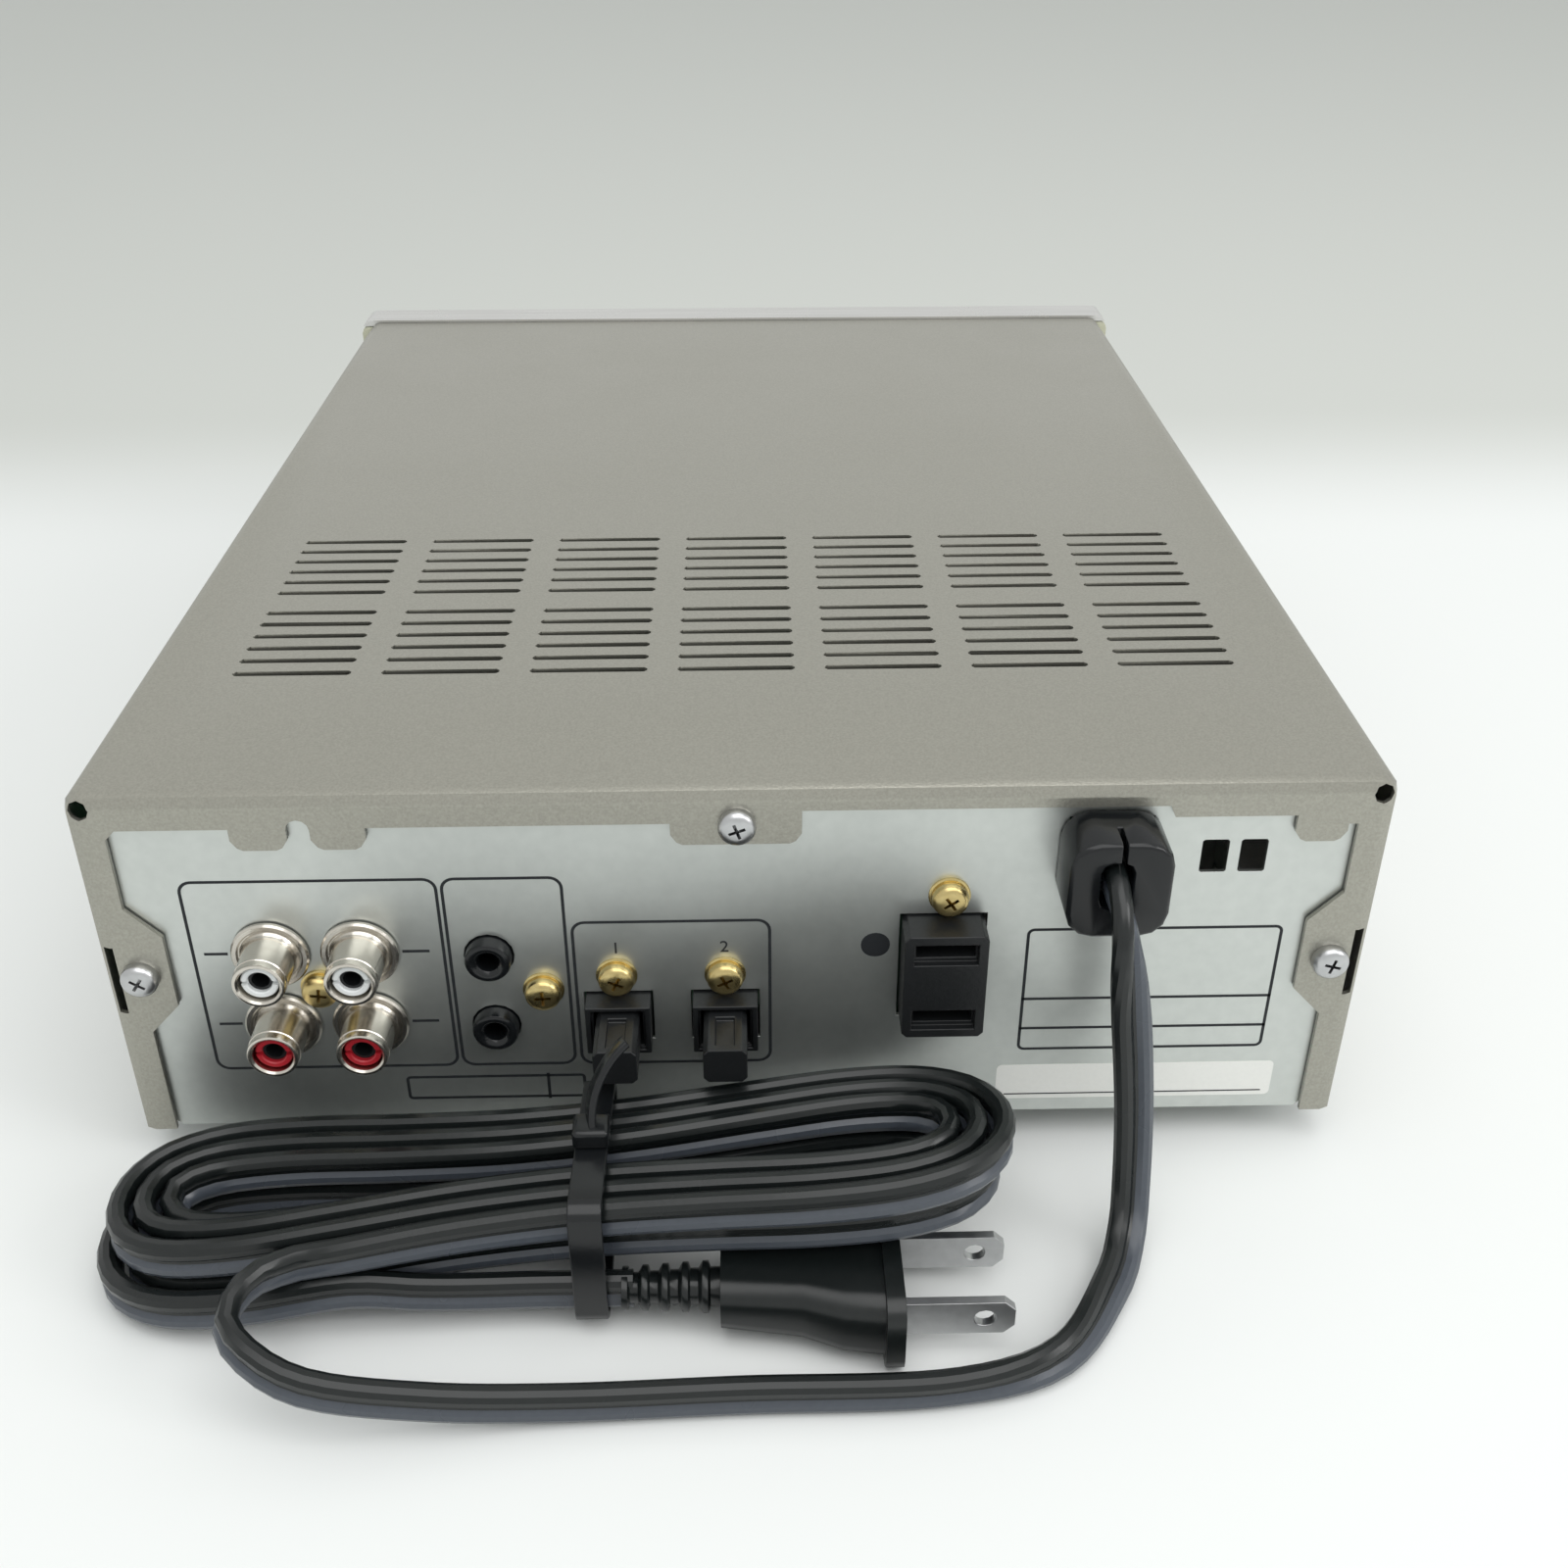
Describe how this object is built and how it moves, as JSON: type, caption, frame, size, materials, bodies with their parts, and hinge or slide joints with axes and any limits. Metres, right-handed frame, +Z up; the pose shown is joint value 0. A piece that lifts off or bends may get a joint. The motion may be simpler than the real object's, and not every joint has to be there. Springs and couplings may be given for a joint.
{
  "type": "minidisc deck",
  "caption": "Compact half-width minidisc deck: slot-loading front with dial and buttons, vented folded cover, rear panel with sockets, outlet and a bundled mains cord.",
  "frame": {"origin": "under the middle of the deck at the level of its feet, cord left out", "axes": "+Z up, the front faces -Y, the rear panel faces +Y"},
  "size_m": [0.205, 0.3252, 0.0725],
  "materials": {
    "champagne_paint": "satin",
    "zinc_plate": "satin",
    "fascia_aluminium": "satin",
    "frame_plastic": "matte",
    "black_plastic": "satin",
    "nickel": "polished",
    "white_plastic": "satin",
    "red_plastic": "satin",
    "circuit_board": "satin",
    "steel": "satin",
    "smoked_window": "polished",
    "copper_winding": "satin",
    "foot_rubber": "matte",
    "cord_vinyl": "satin"
  },
  "bodies": {
    "casing": {"ac_outlet": "black_plastic", "bottom_chassis": "zinc_plate", "cord_bushing": "black_plastic", "cord_hank": "cord_vinyl", "cord_lead": "cord_vinyl", "cord_tie": "black_plastic", "display_tube": "smoked_window", "display_window": "smoked_window", "foot_front_left": "foot_rubber", "foot_front_right": "foot_rubber", "foot_rear_left": "foot_rubber", "foot_rear_right": "foot_rubber", "front_board": "circuit_board", "front_frame": "frame_plastic", "front_panel": "fascia_aluminium", "guide_rod_1": "steel", "guide_rod_2": "steel", "loading_motor": "steel", "main_board": "circuit_board", "mech_base": "steel", "mech_bracket": "zinc_plate", "optical_cap_1": "black_plastic", "optical_cap_2": "black_plastic", "optical_receiver_1": "black_plastic", "optical_receiver_2": "black_plastic", "plug_blade_1": "nickel", "plug_blade_2": "nickel", "plug_body": "black_plastic", "rca_block": "black_plastic", "rca_insulator_1": "white_plastic", "rca_insulator_2": "white_plastic", "rca_insulator_3": "red_plastic", "rca_insulator_4": "red_plastic", "rca_shell_1": "nickel", "rca_shell_2": "nickel", "rca_shell_3": "nickel", "rca_shell_4": "nickel", "rear_panel": "zinc_plate", "remote_jack_lower": "black_plastic", "remote_jack_upper": "black_plastic", "sled_motor": "steel", "spindle_motor": "steel", "top_cover": "champagne_paint", "transformer_core": "steel", "transformer_winding": "copper_winding"},
    "flap": {"slot_flap": "fascia_aluminium"},
    "jog": {"jog_dial": "fascia_aluminium"},
    "level": {"level_knob": "fascia_aluminium"},
    "power": {"power_button": "fascia_aluminium"},
    "eject": {"eject_button": "fascia_aluminium"},
    "play": {"play_button": "fascia_aluminium"},
    "stop": {"stop_button": "fascia_aluminium"},
    "rec": {"rec_button": "fascia_aluminium"},
    "cam": {"cam_slide": "steel"},
    "holder": {"disc_holder": "steel"},
    "pinion": {"loading_pinion": "white_plastic"},
    "spindle": {"turntable": "black_plastic"},
    "sled": {"pickup_sled": "black_plastic"},
    "screw": {"sled_screw": "steel"},
    "head": {"head_arm": "steel"}
  },
  "joints": [
    {"name": "flap_hinge", "type": "hinge", "parent": "casing", "child": "flap", "pos_m": [-0.03, -0.1267, 0.0596], "axis": [1, 0, 0], "range_deg": [0, 80], "stiffness_Nm_per_rad": 0.001, "springref_deg": -5.73},
    {"name": "jog_turn", "type": "hinge", "parent": "casing", "child": "jog", "pos_m": [0.074, -0.1305, 0.045], "axis": [0, 1, 0], "continuous": true},
    {"name": "level_turn", "type": "hinge", "parent": "casing", "child": "level", "pos_m": [0.074, -0.1305, 0.0185], "axis": [0, 1, 0], "range_deg": [0, 300]},
    {"name": "power_press", "type": "slide", "parent": "casing", "child": "power", "axis": [0, 1, 0], "range_m": [0, 0.0009], "stiffness_N_per_m": 300},
    {"name": "eject_press", "type": "slide", "parent": "casing", "child": "eject", "axis": [0, 1, 0], "range_m": [0, 0.0009], "stiffness_N_per_m": 300},
    {"name": "play_press", "type": "slide", "parent": "casing", "child": "play", "axis": [0, 1, 0], "range_m": [0, 0.0009], "stiffness_N_per_m": 300},
    {"name": "stop_press", "type": "slide", "parent": "casing", "child": "stop", "axis": [0, 1, 0], "range_m": [0, 0.0009], "stiffness_N_per_m": 300},
    {"name": "rec_press", "type": "slide", "parent": "casing", "child": "rec", "axis": [0, 1, 0], "range_m": [0, 0.0009], "stiffness_N_per_m": 300},
    {"name": "cam_travel", "type": "slide", "parent": "casing", "child": "cam", "axis": [0, 1, 0], "range_m": [0, 0.012]},
    {"name": "holder_drop", "type": "slide", "parent": "casing", "child": "holder", "axis": [0, 0, -1], "range_m": [0, 0.0054]},
    {"name": "pinion_turn", "type": "hinge", "parent": "casing", "child": "pinion", "pos_m": [-0.0667, -0.057, 0.04212], "axis": [-1, 0, 0], "range_deg": [0, 144]},
    {"name": "spindle_turn", "type": "hinge", "parent": "casing", "child": "spindle", "pos_m": [-0.03, -0.071, 0.0446], "axis": [0, 0, 1], "continuous": true},
    {"name": "sled_travel", "type": "slide", "parent": "casing", "child": "sled", "axis": [1, 0, 0], "range_m": [0, 0.016]},
    {"name": "screw_turn", "type": "hinge", "parent": "casing", "child": "screw", "pos_m": [-0.028, -0.094, 0.041], "axis": [1, 0, 0], "range_deg": [0, 1441]},
    {"name": "head_lift", "type": "hinge", "parent": "sled", "child": "head", "pos_m": [0.0115, -0.071, 0.06], "axis": [0, -1, 0], "range_deg": [0, 11]}
  ],
  "couplings": [
    {"joint": "holder_drop", "follows": "cam_travel", "ratio": 0.45},
    {"joint": "pinion_turn", "follows": "cam_travel", "rad_per_m": 208.33},
    {"joint": "head_lift", "follows": "cam_travel", "rad_per_m": 15.99},
    {"joint": "screw_turn", "follows": "sled_travel", "rad_per_m": 1570.8}
  ]
}
